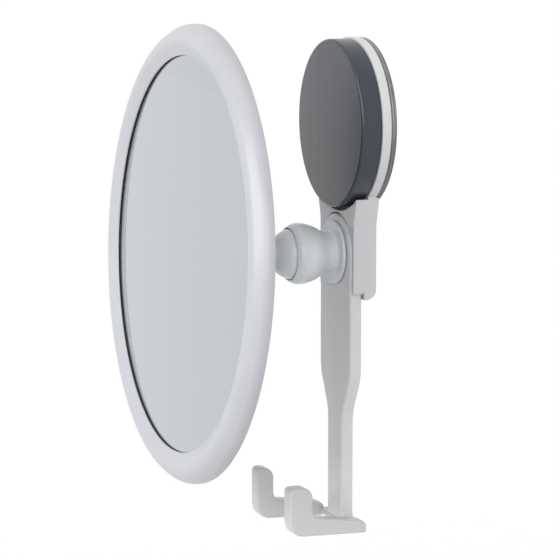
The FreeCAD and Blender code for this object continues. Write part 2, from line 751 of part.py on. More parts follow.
cover = turned("rear_cover", [
    ("0", "boss_back"),
    ("boss_radius", "boss_back"),
    ("dome_inner", "boss_back + inner_rise"),
    ("dome_middle", "boss_back + middle_rise"),
    ("dome_outer", "boss_back + outer_rise"),
    ("mirror_radius - 0.6", "bezel_back - 0.1"),
    ("spigot_radius", "bezel_back - 0.1"),
    ("spigot_radius", "bezel_back + 0.6"),
    ("spigot_bore", "bezel_back + 0.6"),
    ("spigot_bore", "bezel_back + 0.1"),
    ("dome_outer - 0.6", "boss_back + outer_rise + cover_wall"),
    ("dome_middle - 0.2", "boss_back + middle_rise + cover_wall"),
    ("dome_inner", "boss_back + inner_rise + cover_wall"),
    ("boss_radius", "boss_back + cover_wall"),
    ("0", "boss_back + cover_wall"),
])
drill(cover, "collar_holes", "pilot_radius", COLLAR_PLACES, "boss_back + 6", "8")
on_mirror(cover)
sub_parts.append(cover)

collar = turned("swivel_collar", [
    ("collar_hole", "collar_back"),
    ("foot_radius + 2.5", "collar_back"),
    ("boss_radius - 0.3", "collar_back + 1.6"),
    ("boss_radius - 0.3", "boss_back"),
    ("foot_radius + 0.3", "boss_back"),
    ("foot_radius + 0.3", "foot_back - 0.3"),
    ("collar_hole", "foot_back - 0.3"),
])
drill(collar, "collar_pilots", "pilot_radius", COLLAR_PLACES, "boss_back", "2.4")
on_mirror(collar)
sub_parts.append(collar)

gasket = turned("cover_gasket", [
    ("spigot_bore + 0.1", "bezel_back + 0.65"),
    ("spigot_radius - 0.1", "bezel_back + 0.65"),
    ("spigot_radius - 0.1", "bezel_back + 1.45"),
    ("spigot_bore + 0.1", "bezel_back + 1.45"),
])
on_mirror(gasket)
sub_parts.append(gasket)

bezel = turned("bezel", [
    ("opening_radius", "glass_face"),
    ("opening_radius", "glass_face + 0.9"),
    ("crest_radius - crest_in", "crest_face"),
    ("crest_radius + crest_out", "crest_face"),
    ("mirror_radius", "shoulder_face"),
    ("mirror_radius", "bezel_back"),
    ("spigot_radius + 0.1", "bezel_back"),
    ("spigot_radius + 0.1", "bezel_back + 1.5"),
    ("glass_radius + 0.1", "bezel_back + 1.5"),
    ("glass_radius + 0.1", "glass_face"),
])
round_edges(bezel, "bezel_round", lambda edge: (
    is_circle(edge, "crest_radius + crest_out", "crest_face")
    or is_circle(edge, "mirror_radius", "shoulder_face")))
round_edges(bezel, "crest_round", lambda edge: (
    is_circle(edge, "crest_radius - crest_in", "crest_face")))
on_mirror(bezel)
sub_parts.append(bezel)

glass = turned("mirror_glass", [
    ("0", "glass_face - glass_thick"),
    ("glass_radius", "glass_face - glass_thick"),
    ("glass_radius", "glass_face"),
    ("0", "glass_face"),
])
on_mirror(glass)
sub_parts.append(glass)

backing = turned("backing_pad", [
    ("0", "bezel_back + 1.55"),
    ("glass_radius", "bezel_back + 1.55"),
    ("glass_radius", "glass_face - glass_thick"),
    ("0", "glass_face - glass_thick"),
])
on_mirror(backing)
sub_parts.append(backing)

plate = turned("mount_plate", [
    ("0", "boss_back + cover_wall"),
    ("boss_radius - 0.5", "boss_back + cover_wall"),
    ("boss_radius - 0.5", "boss_back + cover_wall + plate_thick"),
    ("0", "boss_back + cover_wall + plate_thick"),
])
drill(plate, "plate_holes", "pilot_radius", COLLAR_PLACES, "boss_back + 6", "8")
on_mirror(plate)
sub_parts.append(plate)

collar_screws = screws(
    "collar_screws", "pilot_radius", "pilot_radius + 1", COLLAR_PLACES,
    "boss_back + cover_wall + plate_thick", "boss_back + cover_wall + 2 * plate_thick", "boss_back - 2.3",
)
on_mirror(collar_screws)
sub_parts.append(collar_screws)

# ---------------------------------------------------------------- checks and files

doc.recompute()
for thing in doc.Objects:
    if {"Invalid", "Error"} & set(thing.State):
        raise RuntimeError(f"{thing.Label} failed: {thing.State}")
for piece in sub_parts:
    shape = piece.Shape
    if shape.isNull() or not shape.isValid():
        raise RuntimeError(f"{piece.Label} has no valid shape")
    shape.exportStep(f"parts/{piece.Label}.step")
    print(f"{piece.Label}: {shape.Volume:.1f} mm3, {len(shape.Solids)} solid(s)")
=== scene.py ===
# %% [markdown]
# # A shaving mirror on a suction mount
#
# The object hangs on a wall. A twist-lock knob presses a rubber cup against the wall, a flat arm
# slides in the moulding under the knob, a ball joint on the arm carries a round mirror, and the
# arm's foot is a two-prong hook for a razor.
#
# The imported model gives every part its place. This file gives the parts that show a finer surface,
# and gives every part a finish. Lengths are metres, +Z is up, the wall is the plane y = 0 and the
# object stands out from it towards -Y. The knob's axis is the Y axis.

# %% Load the frame
import json
import math

import bmesh
import bpy
import numpy as np
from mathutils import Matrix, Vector


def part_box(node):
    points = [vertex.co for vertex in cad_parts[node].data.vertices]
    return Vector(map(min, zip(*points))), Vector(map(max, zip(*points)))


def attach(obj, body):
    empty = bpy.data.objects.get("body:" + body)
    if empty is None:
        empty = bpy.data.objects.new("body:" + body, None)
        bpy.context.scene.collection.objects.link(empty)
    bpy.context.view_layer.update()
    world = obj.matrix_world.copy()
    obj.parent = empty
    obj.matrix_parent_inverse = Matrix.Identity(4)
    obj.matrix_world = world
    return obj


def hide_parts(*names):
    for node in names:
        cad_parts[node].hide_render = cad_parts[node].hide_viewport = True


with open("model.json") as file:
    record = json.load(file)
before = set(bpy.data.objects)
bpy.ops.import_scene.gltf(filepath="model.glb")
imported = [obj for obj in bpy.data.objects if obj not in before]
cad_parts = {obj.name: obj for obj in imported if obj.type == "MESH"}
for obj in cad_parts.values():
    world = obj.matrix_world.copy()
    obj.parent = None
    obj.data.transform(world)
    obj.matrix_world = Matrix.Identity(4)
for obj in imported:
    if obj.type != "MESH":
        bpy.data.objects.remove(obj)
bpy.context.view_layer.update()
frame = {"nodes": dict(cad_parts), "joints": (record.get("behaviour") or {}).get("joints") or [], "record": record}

MM = 0.001


# %% [markdown]
# ## Reading places from the frame
#
# A turned part is known by its radius and by how far its faces stand out from the wall. Both can be
# read from the part's box, so that a new surface follows the part if its size changes. The joints
# give the ball's centre and the mirror's axis.

# %% Radii, depths and axes
def depths(node):
    """How far a part's back and front stand out from the wall, in mm."""
    low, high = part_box(node)
    return -high.y / MM, -low.y / MM


def half_width(node):
    """Half of a part's width along X, in mm. On a turned part it is the radius."""
    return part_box(node)[1].x / MM


def drop(node, end):
    """How far a part's top (end=1) or foot (end=0) is above the knob's axis, in mm."""
    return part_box(node)[end].z / MM


joints = {joint["name"]: joint for joint in frame["joints"]}
BALL_CENTRE = np.array(joints["mirror_tilt"]["pos_m"]) / MM
MIRROR_AXIS = np.array(joints["mirror_spin"]["axis"], float)
MIRROR_AXIS /= np.linalg.norm(MIRROR_AXIS)
WALL_AXIS = np.array([0.0, -1.0, 0.0])
KNOB_CENTRE = np.zeros(3)
SOCKET_CENTRE = np.array([0.0, 0.0, BALL_CENTRE[2]])
print("ball centre (mm):", BALL_CENTRE.round(2), "mirror axis:", MIRROR_AXIS.round(4))


# %% [markdown]
# ## Outlines with round corners
#
# Moulded plastic has no sharp corners: the tool is cut with a ball-nosed cutter, and a sharp corner
# would be weak. So each outline here is a short list of corners, and each corner says how large the
# arc is that replaces it. The arc touches both edges, so the outline stays smooth.

# %% Corners to arcs
def rounded(corners, closed=False, steps=8):
    """An outline through corners (a, b, radius), each replaced by an arc that touches both edges.

    With h half of the angle between the edges, the arc starts radius / tan(h) from the corner and
    its centre is radius / sin(h) from the corner, on the line that halves the angle.
    """
    points = np.array([corner[:2] for corner in corners], float)
    radii = [corner[2] if len(corner) > 2 else 0.0 for corner in corners]
    pieces = []
    for i, radius in enumerate(radii):
        here = points[i]
        if radius == 0 or (not closed and i in (0, len(points) - 1)):
            pieces.append(here[None])
            continue
        before = points[i - 1] - here
        after = points[(i + 1) % len(points)] - here
        before /= np.linalg.norm(before)
        after /= np.linalg.norm(after)
        half = math.acos(np.clip(before @ after, -1, 1)) / 2
        middle = before + after
        centre = here + middle / np.linalg.norm(middle) * radius / math.sin(half)
        first = here + before * radius / math.tan(half) - centre
        last = here + after * radius / math.tan(half) - centre
        sweep = math.pi - 2 * half
        k = np.linspace(0, 1, steps + 1)[:, None]
        turned_by = np.sin((1 - k) * sweep) * first + np.sin(k * sweep) * last
        pieces.append(centre + turned_by / math.sin(sweep))
    return np.concatenate(pieces)


square = [(0, 0, 1), (9, 0, 1), (9, 9, 1), (0, 9, 1)]
print("a square with round corners has", len(rounded(square, closed=True)), "points")


# %% [markdown]
# ## From a grid of points to a mesh
#
# Every new surface is a grid of points worked out as one array. Two neighbouring rows and two
# neighbouring columns make one four-sided face. Where a row shrinks to a point, as at the middle of
# a disc, its points are merged, which closes the pole, and the faces are then turned outwards.

# %% Grid to mesh
def mesh_piece(name, points, faces, crease=38):
    """An object at the origin from points in mm. Edges that turn more than crease degrees stay sharp."""
    mesh = bpy.data.meshes.new(name)
    mesh.from_pydata((points * MM).tolist(), [], faces)
    work = bmesh.new()
    work.from_mesh(mesh)
    bmesh.ops.remove_doubles(work, verts=work.verts, dist=2e-7)
    bmesh.ops.dissolve_degenerate(work, edges=work.edges, dist=1e-8)
    bmesh.ops.recalc_face_normals(work, faces=work.faces)
    work.to_mesh(mesh)
    work.free()
    mesh.polygons.foreach_set("use_smooth", np.ones(len(mesh.polygons), bool))
    mesh.set_sharp_from_angle(angle=math.radians(crease))
    piece = bpy.data.objects.new(name, mesh)
    bpy.context.scene.collection.objects.link(piece)
    print(f"{name}: {len(mesh.vertices)} points, {len(mesh.polygons)} faces")
    return piece


def grid_faces(rows, columns, round_rows=False, round_columns=False, first=0):
    """Four-sided faces between the neighbours of a grid, which may close on itself either way."""
    row, column = np.meshgrid(
        np.arange(rows if round_rows else rows - 1),
        np.arange(columns if round_columns else columns - 1), indexing="ij")
    below, beside = (row + 1) % rows, (column + 1) % columns
    corners = [
        row * columns + column, row * columns + beside,
        below * columns + beside, below * columns + column,
    ]
    return (np.stack(corners, -1).reshape(-1, 4) + first).tolist()


# %% [markdown]
# ## Turned pieces
#
# The knob, the cup, the socket, the ball and the mirror are round about an axis. The quickest way to
# make one is the Screw modifier, but a formula gives full control of where the rings lie, so the
# arcs stay fine and the flat faces stay cheap.

# %% Turn an outline about an axis
def turned(name, outline, centre, axis, steps=160, closed=False):
    """Carry each outline point (radius, ahead) round an axis.

    point = centre + ahead * axis + radius * (cos t * side + sin t * up), for t from 0 to a full turn.
    """
    side = np.array([1.0, 0.0, 0.0])
    up = np.cross(side, axis)
    t = np.linspace(0, 2 * math.pi, steps, endpoint=False)
    ring = np.cos(t)[:, None] * side + np.sin(t)[:, None] * up
    points = centre + outline[:, None, 1:2] * axis + outline[:, None, 0:1] * ring[None]
    faces = grid_faces(len(outline), steps, round_rows=closed, round_columns=True)
    return mesh_piece(name, points.reshape(-1, 3), faces)


# %% [markdown]
# ## Shader maths as Python expressions
#
# A finish is a small sum: colour plus a little mottle, roughness plus a few scuffs, a bump from fine
# grain. Building each Math node by hand hides that sum. The class below wraps one output socket, so
# that `0.3 + 0.1 * scuffs` adds the Math nodes itself.

# %% A socket that can be used in expressions
class Wire:
    """An output socket of a material's nodes. Arithmetic on it adds Math nodes."""

    def __init__(self, tree, socket=None):
        self.tree = tree
        self.socket = socket

    def node(self, kind, settings=None, output=0, **inputs):
        """Add a node of any type: set its settings, then each input's value or link.

        An input is named as on the node, with _ for a space, or is in0, in1 and so on by its number.
        """
        made = self.tree.nodes.new("ShaderNode" + kind)
        for key, value in (settings or {}).items():
            if key == "stops":
                ramp = made.color_ramp
                while len(ramp.elements) < len(value):
                    ramp.elements.new(1.0)
                for element, (position, colour) in zip(ramp.elements, value):
                    element.position = position
                    element.color = (*colour, 1.0)
            else:
                setattr(made, key, value)
        for key, value in inputs.items():
            numbered = key.startswith("in") and key[2:].isdigit()
            target = made.inputs[int(key[2:]) if numbered else key.replace("_", " ")]
            if isinstance(value, Wire):
                self.tree.links.new(value.socket, target)
            else:
                target.default_value = value
        return Wire(self.tree, made.outputs[output] if len(made.outputs) else None)

    def math(self, operation, a, b=0.0):
        return self.node("Math", {"operation": operation}, in0=a, in1=b)

    def __add__(self, other):
        return self.math("ADD", self, other)

    def __sub__(self, other):
        return self.math("SUBTRACT", self, other)

    def __rsub__(self, other):
        return self.math("SUBTRACT", other, self)

    def __mul__(self, other):
        return self.math("MULTIPLY", self, other)

    def __truediv__(self, other):
        return self.math("DIVIDE", self, other)

    __radd__ = __add__
    __rmul__ = __mul__


# %% [markdown]
# ## The parts that every finish shares
#
# Noise gives the patterns. Its scale is in repeats per metre, so 1500 is a grain of about 0.7 mm and
# 60 is a cloud of about 17 mm. All of it reads object coordinates, which stay with the part when the
# part moves.

# %% Noise, mixing and the closing shader
def place(wire):
    """Object coordinates, in metres."""
    return wire.node("TexCoord", output=3)


def noise(wire, scale, detail=3.0, roughness=0.55, stretch=(1, 1, 1)):
    """Smooth noise from 0 to 1, mostly near 0.5, with stretch dividing its size along each axis."""
    where = wire.node("Mapping", Vector=place(wire), Scale=stretch)
    return wire.node("TexNoise", Vector=where, Scale=scale, Detail=detail, Roughness=roughness)


def blend(wire, factor, first, second):
    """A colour between two colours."""
    mix = {"data_type": "RGBA"}
    first = (*first, 1.0) if isinstance(first, tuple) else first
    second = (*second, 1.0) if isinstance(second, tuple) else second
    return wire.node("Mix", mix, output=2, in0=factor, in6=first, in7=second)


def above(wire, value, low, high):
    """0 below low, 1 above high, and a smooth rise between them."""
    settings = {"interpolation_type": "SMOOTHSTEP"}
    return wire.node("MapRange", settings, Value=value, From_Min=low, From_Max=high)


def start(name):
    """A new material with no nodes, as a wire to build on."""
    material = bpy.data.materials.new(name)
    material.use_nodes = True
    material.node_tree.nodes.clear()
    return material, Wire(material.node_tree)


def close(material, wire, colour, roughness, height=None, metres=1e-5, **constants):
    """Principled shader and output. height (0 to 1) becomes a bump that is metres high."""
    inputs = {"Base_Color": colour, "Roughness": roughness, **constants}
    if height is not None:
        inputs["Normal"] = wire.node("Bump", Height=height, Distance=metres, Strength=1.0)
    shader = wire.node("BsdfPrincipled", **inputs)
    wire.node("OutputMaterial", Surface=shader)
    return material


# %% [markdown]
# ## Moulded plastics
#
# The pale parts are ABS from a polished tool: a soft gloss, with the slight waviness that plastic
# takes as it shrinks. They are one white plastic, and each part's shade is painted light and shade:
# lighter where less light reaches it, as on the arm in the mirror's shadow, and darker where more does,
# as on the bezel. The ball and its socket are also a little bluer and glossier. Handling leaves faint
# dull patches, which show in the roughness and hardly at all in the colour. The knob is a dark grade
# with a fine spark-eroded texture, which makes it satin.

# %% Plastic finishes
CLOUDS, SCUFFS, WAVES = 38.0, 130.0, 210.0


def moulded(name, light, shade, gloss=0.27, grain=1700.0, grain_share=0.25, height=1.2e-5):
    """Glossy moulded plastic: colour from shade to light, wavy surface, faint scuffs."""
    material, wire = start(name)
    cloud = noise(wire, CLOUDS, detail=4.0)
    colour = blend(wire, above(wire, cloud, 0.3, 0.7), shade, light)
    scuffs = above(wire, noise(wire, SCUFFS, detail=6.0, roughness=0.7, stretch=(1, 1, 0.35)), 0.55, 0.72)
    roughness = gloss + 0.09 * scuffs + 0.05 * cloud
    wave = noise(wire, WAVES, detail=1.0)
    fine = noise(wire, grain, detail=2.0)
    surface = wave * (1 - grain_share) + fine * grain_share
    return close(material, wire, colour, roughness, surface, height, IOR=1.5)


# Painted light and shade: each pale part's shade is made lighter or darker for the light that reaches it, over one
# white plastic.
FINISHES = {
    "bezel_white": moulded("bezel_white", (0.345, 0.35, 0.372), (0.331, 0.335, 0.357)),
    "mount_white": moulded("mount_white", (0.475, 0.477, 0.49), (0.46, 0.462, 0.475)),
    "arm_grey": moulded("arm_grey", (0.515, 0.518, 0.523), (0.50, 0.503, 0.508)),
    "hook_grey": moulded("hook_grey", (0.42, 0.423, 0.427), (0.405, 0.408, 0.412)),
    "socket_grey": moulded("socket_grey", (0.55, 0.575, 0.60), (0.535, 0.56, 0.585), gloss=0.17),
    "knob_slate": moulded("knob_slate", (0.023, 0.028, 0.039), (0.019, 0.024, 0.034), gloss=0.24,
                          grain=2600.0, grain_share=0.7, height=2.2e-5),
    "acetal": moulded("acetal", (0.72, 0.71, 0.68), (0.66, 0.65, 0.62), gloss=0.38,
                      grain=1200.0, grain_share=0.4),
}
print("plastics:", ", ".join(FINISHES))


# %% [markdown]
# ## Rubber, metal and foam
#
# The suction cup is soft clear vinyl. Its edge is thick, so it looks grey-green, and the light and
# shade of the lips of the edge are painted on as lighter and darker rings. Turned metal has fine rings
# about its axis, and rolled or plated metal has small spots. The seals are black rubber and the sheet
# behind the glass is grey foam.

# %% The other finishes
def axis_distance(wire, centre, axis):
    """Distance from an axis in metres: the length of the part of (place - centre) across the axis."""
    offset = wire.node("VectorMath", {"operation": "SUBTRACT"}, in0=place(wire), in1=tuple(centre * MM))
    along = wire.node("VectorMath", {"operation": "DOT_PRODUCT"}, output=1, in0=offset, in1=tuple(axis))
    part = wire.node("VectorMath", {"operation": "SCALE"}, in0=tuple(axis), Scale=along)
    across = wire.node("VectorMath", {"operation": "SUBTRACT"}, in0=offset, in1=part)
    return wire.node("VectorMath", {"operation": "LENGTH"}, output=1, in0=across)


def clear_vinyl():
    """Soft clear vinyl with the light and shade of the cup's lips painted on by depth."""
    material, wire = start("clear_vinyl")
    depth = wire.node("SeparateXYZ", Vector=place(wire), output=1) * (-1 / MM)
    front = depths("suction_cup")[1]
    # Painted light and shade: the lips' lit and shaded tones are laid in rings by depth over the vinyl's own
    # grey-green.
    dark, pale, milky = (0.115, 0.12, 0.11), (0.185, 0.19, 0.178), (0.36, 0.38, 0.35)
    stops = [(0.0, dark), (0.16, dark), (0.34, pale), (0.56, pale), (0.72, dark), (0.86, dark), (1.0, pale)]
    painted_lip_bands = wire.node("ValToRGB", {"stops": stops}, Fac=depth / front)
    cloudy = above(wire, noise(wire, 90.0, detail=4.0), 0.35, 0.7)
    colour = blend(wire, 0.25 * cloudy, painted_lip_bands, milky)
    return close(material, wire, colour, 0.22 + 0.12 * cloudy, noise(wire, 420.0), 1.5e-5,
                 Transmission_Weight=0.25, IOR=1.5)


def black_rubber():
    """Black rubber with a little dust and a fine grain."""
    material, wire = start("black_rubber")
    dust = above(wire, noise(wire, 160.0, detail=5.0, roughness=0.7), 0.5, 0.75)
    colour = blend(wire, dust, (0.022, 0.022, 0.023), (0.06, 0.058, 0.055))
    return close(material, wire, colour, 0.55 + 0.2 * dust, noise(wire, 2400.0), 2e-5)


def grey_foam():
    """Grey foam of small open cells."""
    material, wire = start("grey_foam")
    cells = wire.node("TexVoronoi", Vector=place(wire), Scale=1400.0)
    colour = blend(wire, above(wire, cells, 0.1, 0.6), (0.08, 0.08, 0.085), (0.16, 0.16, 0.165))
    return close(material, wire, colour, 0.8 + 0.1 * cells, cells, 1.2e-4)


def turned_metal(name, colour, worn, centre, pitch=0.16, wander=0.4):
    """Lathe rings, pitch apart (mm): a wave in the distance from the Y axis through centre.

    Noise moves the rings by up to wander (mm).
    """
    material, wire = start(name)
    rings = noise(wire, 60.0) * (wander * MM) + axis_distance(wire, centre, WALL_AXIS)
    groove = wire.math("SINE", rings * (2 * math.pi / (pitch * MM))) * 0.5 + 0.5
    spots = above(wire, noise(wire, 700.0, detail=5.0, roughness=0.7), 0.5, 0.7)
    return close(material, wire, blend(wire, spots, colour, worn), 0.28 + 0.12 * spots, groove, 4e-6,
                 Metallic=1.0)


def rolled_metal(name, colour, worn):
    """Rolled or plated sheet: long fine streaks and small dull spots."""
    material, wire = start(name)
    streaks = noise(wire, 900.0, roughness=0.6, stretch=(1, 1, 0.06))
    spots = above(wire, noise(wire, 400.0, detail=5.0, roughness=0.7), 0.52, 0.7)
    return close(material, wire, blend(wire, spots, colour, worn), 0.3 + 0.15 * streaks, streaks, 4e-6,
                 Metallic=1.0)


STEEL, WORN_STEEL = (0.56, 0.57, 0.59), (0.42, 0.42, 0.43)
FINISHES.update(
    clear_vinyl=clear_vinyl(),
    black_rubber=black_rubber(),
    grey_foam=grey_foam(),
    steel_turned=turned_metal("steel_turned", STEEL, WORN_STEEL, KNOB_CENTRE),
    steel_socket=turned_metal("steel_socket", STEEL, WORN_STEEL, SOCKET_CENTRE),
    brass=turned_metal("brass", (0.75, 0.56, 0.27), (0.52, 0.38, 0.18), KNOB_CENTRE),
    zinc=rolled_metal("zinc", (0.55, 0.56, 0.58), (0.40, 0.41, 0.42)),
    aluminium=rolled_metal("aluminium", (0.72, 0.73, 0.74), (0.60, 0.60, 0.61)),
)
print("all finishes:", len(FINISHES))


# %% [markdown]
# ## Silvered glass
#
# A bathroom mirror is float glass silvered on its back. The iron in the glass takes out a little red,
# so the reflection is slightly green. The silver here is also darker than a real one, which is a painted
# reflection of a room darker than the studio. A thin brown-black line just inside the bezel is painted
# shade, the shade of the gap under the bezel's lip. One metallic surface with that tint is enough here:
# a real sheet of glass over silver would double the render time for a second, very faint reflection.

# %% Mirror finish
def silvered(edge_radius, blur=0.15, shade_wobble=0.2):
    """Tinted mirror with painted shade over blur (mm) each side of edge_radius (mm).

    The shade is the gap under the bezel's lip; noise moves it inwards by up to shade_wobble (mm).
    """
    material, wire = start("silvered_glass")
    shade_shift = (shade_wobble * MM) * noise(wire, 300.0, detail=4.0)
    radius = axis_distance(wire, BALL_CENTRE, MIRROR_AXIS) + shade_shift
    rim = above(wire, radius, (edge_radius - blur) * MM, (edge_radius + blur) * MM)
    cloud = noise(wire, 14.0, detail=2.0)
    # The green tint is the glass's own; the darkness of this silver is a painted reflection of a darker room.
    silver = blend(wire, cloud, (0.512, 0.542, 0.570), (0.500, 0.530, 0.558))
    # Painted shade: the brown-black line at the glass's edge stands for the gap under the bezel's lip.
    colour = blend(wire, rim, silver, (0.25, 0.24, 0.18))
    smear = above(wire, noise(wire, 45.0, detail=5.0, roughness=0.6, stretch=(1, 1, 0.4)), 0.52, 0.75)
    roughness = 0.015 + 0.02 * smear + 0.3 * rim
    return close(material, wire, colour, roughness, noise(wire, 30.0, detail=1.0), 1e-7, Metallic=1.0)


# %% [markdown]
# ## Putting a new piece in place of a part
#
# Each new surface stands for one part of the imported model: it rides on the same body, hides that
# part, and gets a finish of its own.

# %% Stand in for a part
BODIES = frame["record"]["behaviour"]["bodies"]
BODY_OF = {node: body for body, members in BODIES.items() for node in members}


def stands_for(piece, node, material):
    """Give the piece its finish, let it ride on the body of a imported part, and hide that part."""
    piece.data.materials.append(material)
    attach(piece, BODY_OF[node])
    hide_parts(node)


# %% [markdown]
# ## The bezel and the glass
#
# The bezel is a ring with a convex front. Its crest stands ahead of the glass, and a thin lip slopes
# down from the crest to the glass and holds it. It could be a bevelled circle curve, but the lip's
# step needs its own corners, so it is a closed outline turned about the mirror's axis.

# %% Bezel and glass
RIM = half_width("bezel")
PANE = half_width("mirror_glass")
GLASS_BACK, GLASS_FACE = 42.9, 45.1
BEZEL_BACK, CREST = 40.5, 48.0
OPENING = 73.3
LIP = GLASS_FACE + 0.42
CREST_IN, CREST_OUT, SHOULDER = OPENING + 4.5, OPENING + 8.0, CREST - 4.4
SKIRT, SHELF = RIM - 2.7, BEZEL_BACK + 1.5
RECESS, OVER_GLASS = PANE + 0.1, GLASS_FACE + 0.02

bezel_outline = rounded([
    (OPENING + 1.2, OVER_GLASS, 0.05),
    (OPENING + 0.55, LIP, 0.15),
    (OPENING, LIP, 0.12),
    (OPENING + 0.05, LIP + 0.55, 0.3),
    (CREST_IN, CREST, 3.0),
    (CREST_OUT, CREST, 5.6),
    (RIM, SHOULDER, 5.2),
    (RIM, BEZEL_BACK, 0.35),
    (SKIRT, BEZEL_BACK, 0.1),
    (SKIRT, SHELF, 0.1),
    (RECESS, SHELF, 0.1),
    (RECESS, OVER_GLASS, 0.05),
], closed=True)
bezel = turned("bezel_ring", bezel_outline, BALL_CENTRE, MIRROR_AXIS, 240, closed=True)
stands_for(bezel, "bezel", FINISHES["bezel_white"])

glass_outline = rounded([
    (0, GLASS_BACK),
    (PANE, GLASS_BACK, 0.2),
    (PANE, GLASS_FACE, 0.2),
    (0, GLASS_FACE),
])
glass = turned("mirror_pane", glass_outline, BALL_CENTRE, MIRROR_AXIS, 240)
stands_for(glass, "mirror_glass", silvered(OPENING))


# %% [markdown]
# ## The rear cover and the swivel collar
#
# The back of the mirror is a shallow dome that clips into the bezel, with a low step where it meets
# the rim. In its middle a collar holds the foot of the ball's stem, so the mirror can be spun. The
# dome is a few corners, each a radius and how far it is ahead of the middle, with very large arcs.

# %% Cover and collar
BOSS_BACK, COVER_WALL, CLEAR, FIT = 29.8, 1.8, 0.3, 0.1
BOSS = half_width("swivel_collar") + CLEAR
DOME_OUTSIDE = [(30, 1.2, 60), (60, 4.8, 60), (78, 8.7, 12)]
DOME_INSIDE = [(77.4, 8.7, 10), (59.8, 4.8, 50), (30, 1.2, 50)]
COVER_RIM, CLIP_OUT, CLIP_IN, CLIP_TOP = RIM - 0.6, RIM - 2.8, RIM - 4.8, BEZEL_BACK + 0.6

cover_outline = rounded([
    (0, BOSS_BACK),
    (BOSS, BOSS_BACK, 0.3),
    *[(radius, BOSS_BACK + ahead, arc) for radius, ahead, arc in DOME_OUTSIDE],
    (COVER_RIM, BEZEL_BACK - FIT, 0.2),
    (CLIP_OUT, BEZEL_BACK - FIT, 0.1),
    (CLIP_OUT, CLIP_TOP, 0.15),
    (CLIP_IN, CLIP_TOP, 0.15),
    (CLIP_IN, BEZEL_BACK + FIT, 0.1),
    *[(radius, BOSS_BACK + ahead + COVER_WALL, arc) for radius, ahead, arc in DOME_INSIDE],
    (BOSS, BOSS_BACK + COVER_WALL, 0.3),
    (0, BOSS_BACK + COVER_WALL),
])
cover = turned("cover_dome", cover_outline, BALL_CENTRE, MIRROR_AXIS, 200)
stands_for(cover, "rear_cover", FINISHES["bezel_white"])

COLLAR_BACK, COLLAR_HOLE, COLLAR_SLOPE, FOOT, FOOT_BACK = 25.6, 8.0, 1.6, 12.0, 27.2
collar_outline = rounded([
    (COLLAR_HOLE, COLLAR_BACK, 0.5),
    (FOOT + 2.5, COLLAR_BACK, 1.2),
    (BOSS - CLEAR, COLLAR_BACK + COLLAR_SLOPE, 1.2),
    (BOSS - CLEAR, BOSS_BACK, 0.2),
    (FOOT + CLEAR, BOSS_BACK, 0.1),
    (FOOT + CLEAR, FOOT_BACK - CLEAR, 0.1),
    (COLLAR_HOLE, FOOT_BACK - CLEAR, 0.1),
], closed=True)
collar = turned("collar_ring", collar_outline, BALL_CENTRE, MIRROR_AXIS, 128, closed=True)
stands_for(collar, "swivel_collar", FINISHES["mount_white"])


# %% [markdown]
# ## The ball and its socket
#
# The socket has a thin flange against the arm, a neck, and a bulge that holds the ball past its
# middle. A vase outline drawn with straight lines would show its corners in the highlights, so the
# bulge is a formula: an ellipse, blended with the neck's straight side. The ellipse is shorter ahead
# of its middle, so the bulge closes quickly round the ball. Inside it follows the ball.

# %% Ball and socket
FLANGE_BACK, SOCKET_LIP = depths("ball_socket")
FLANGE = half_width("ball_socket")
FLANGE_FRONT, NECK, NECK_FRONT = 12.9, 7.7, 15.6
BULGE, BULGE_START, BULGE_MIDDLE, BULGE_LENGTH, BULGE_NOSE = 11.55, 15.8, 26.6, 12.0, 7.6
SCREW_HOLE, SEAT_BORE, SEAT_FLOOR, SEAT_TOP, WALL_FOOT = 1.95, 6.2, 14.4, 20.2, -0.88
BALL, BALL_GAP = 9.8, 0.1
HOLLOW_BALL = BALL + BALL_GAP
BALL_DEPTH = -BALL_CENTRE[1]


def vase(depth):
    """Outer radius: the eighth-power mean of the neck's radius and the bulge's ellipse."""
    length = np.where(depth > BULGE_MIDDLE, BULGE_NOSE, BULGE_LENGTH)
    ellipse = BULGE * np.sqrt(np.clip(1 - ((depth - BULGE_MIDDLE) / length) ** 2, 0, 1))
    return (NECK ** 8 + ellipse ** 8) ** (1 / 8)


flange = rounded([
    (SCREW_HOLE, FLANGE_BACK),
    (FLANGE, FLANGE_BACK, 0.25),
    (FLANGE, FLANGE_FRONT, 0.5),
    (NECK, FLANGE_FRONT, 1.1),
    (NECK, NECK_FRONT),
])
along = np.linspace(BULGE_START, SOCKET_LIP - 0.55, 40)
bulge = np.stack([vase(along), along], -1)
lip_inside = math.sqrt(HOLLOW_BALL ** 2 - (SOCKET_LIP - BALL_DEPTH) ** 2)
lip = rounded([
    tuple(bulge[-1]),
    (bulge[-1][0] - 0.35, SOCKET_LIP, 0.4),
    (lip_inside, SOCKET_LIP, 0.25),
    (lip_inside + 0.5, SOCKET_LIP - 1.0),
])
angle = np.linspace(math.asin((SOCKET_LIP - 1.2 - BALL_DEPTH) / HOLLOW_BALL), WALL_FOOT, 28)
cup_wall = HOLLOW_BALL * np.stack([np.cos(angle), np.sin(angle)], -1) + (0, BALL_DEPTH)
bore = rounded([
    (SEAT_BORE, SEAT_TOP),
    (SEAT_BORE, SEAT_FLOOR, 0.1),
    (SCREW_HOLE, SEAT_FLOOR, 0.1),
    (SCREW_HOLE, FLANGE_BACK),
])
socket_outline = np.concatenate([flange, bulge, lip[1:], cup_wall, bore[:-1]])
socket = turned("socket_vase", socket_outline, SOCKET_CENTRE, WALL_AXIS, 160, closed=True)
stands_for(socket, "ball_socket", FINISHES["socket_grey"])

